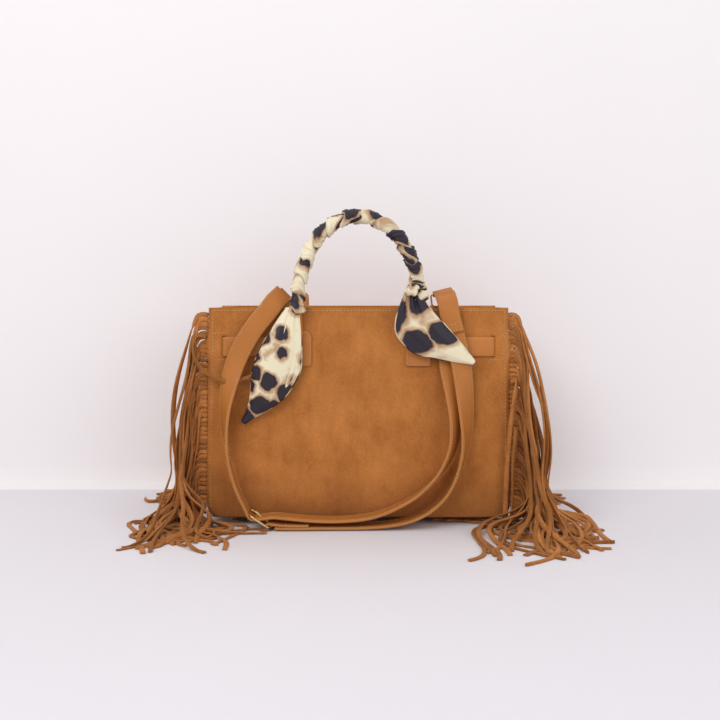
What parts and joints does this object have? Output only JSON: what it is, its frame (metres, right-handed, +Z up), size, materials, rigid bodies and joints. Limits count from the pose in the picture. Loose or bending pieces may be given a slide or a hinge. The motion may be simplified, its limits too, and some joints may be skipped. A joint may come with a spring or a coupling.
{
  "type": "fringed suede tote bag",
  "caption": "Soft lined tote with rolled handles, a scarf wound round the front handle, cut fringes along the side seams and a buckled clip-on shoulder strap.",
  "frame": {"origin": "on the floor under the middle of the bag's base", "axes": "+Z up, -Y is the front with the belts and the wrapped handle, +X runs along the width to the right as seen from the front"},
  "size_m": [0.57, 0.47, 0.3867],
  "materials": {
    "suede": "napped suede, soft and matt",
    "leather": "smooth tan leather with a low sheen and painted edges",
    "gold": "polished light gold plate",
    "lining": "plain woven lining",
    "scarf": "satin cloth with a spotted print",
    "board": "stiff fibre board, matt"
  },
  "bodies": {
    "bag": {"front_panel": "suede", "back_panel": "suede", "left_gusset": "suede", "right_gusset": "suede", "base_panel": "suede", "base_board": "board", "lining": "lining", "front_facing": "leather", "back_facing": "leather", "snap_socket": "gold", "snap_stud": "gold", "foot_front_left": "gold", "foot_back_left": "gold", "foot_front_right": "gold", "foot_back_right": "gold", "belt_left": "leather", "belt_right": "leather", "front_handle": "leather", "back_handle": "leather", "scarf": "scarf", "d_ring_tab_left": "leather", "clip_hook_left": "gold", "d_ring_tab_right": "leather", "clip_hook_right": "gold", "buckle_frame": "gold", "strap_short": "leather", "strap_long": "leather", "fringe_front_left": "suede", "fringe_back_left": "suede", "fringe_front_right": "suede", "fringe_back_right": "suede"},
    "ring_left": {"d_ring_left": "gold"},
    "ring_right": {"d_ring_right": "gold"},
    "gate_left": {"clip_gate_left": "gold"},
    "gate_right": {"clip_gate_right": "gold"},
    "loop_left": {"clip_loop_left": "gold"},
    "loop_right": {"clip_loop_right": "gold"},
    "prong": {"buckle_prong": "gold"}
  },
  "joints": [
    {"name": "ring_swing_left", "type": "hinge", "parent": "bag", "child": "ring_left", "pos_m": [-0.11, -0.04665, 0.23263], "axis": [1, 0, 0], "range_deg": [-4, 4]},
    {"name": "gate_open_left", "type": "hinge", "parent": "bag", "child": "gate_left", "pos_m": [-0.1065, -0.03311, 0.25324], "axis": [0.848, -0.0411, -0.5283], "range_deg": [-18, 0], "stiffness_Nm_per_rad": 0.005},
    {"name": "clip_swivel_left", "type": "hinge", "parent": "bag", "child": "loop_left", "pos_m": [-0.09967, -0.03914, 0.26468], "axis": [0.5299, 0.0658, 0.8455], "range_deg": [-20, 20]},
    {"name": "ring_swing_right", "type": "hinge", "parent": "bag", "child": "ring_right", "pos_m": [0.11, -0.04665, 0.23263], "axis": [1, 0, 0], "range_deg": [-4, 4]},
    {"name": "gate_open_right", "type": "hinge", "parent": "bag", "child": "gate_right", "pos_m": [0.10908, -0.03304, 0.25417], "axis": [0.9903, 0.0108, 0.1388], "range_deg": [-18, 0], "stiffness_Nm_per_rad": 0.005},
    {"name": "clip_swivel_right", "type": "hinge", "parent": "bag", "child": "loop_right", "pos_m": [0.10729, -0.03892, 0.26744], "axis": [-0.1392, 0.0768, 0.9873], "range_deg": [-20, 20]},
    {"name": "prong_lift", "type": "hinge", "parent": "bag", "child": "prong", "pos_m": [-0.10781, -0.0925, 0.00545], "axis": [0, 1, 0], "range_deg": [0, 10]}
  ]
}
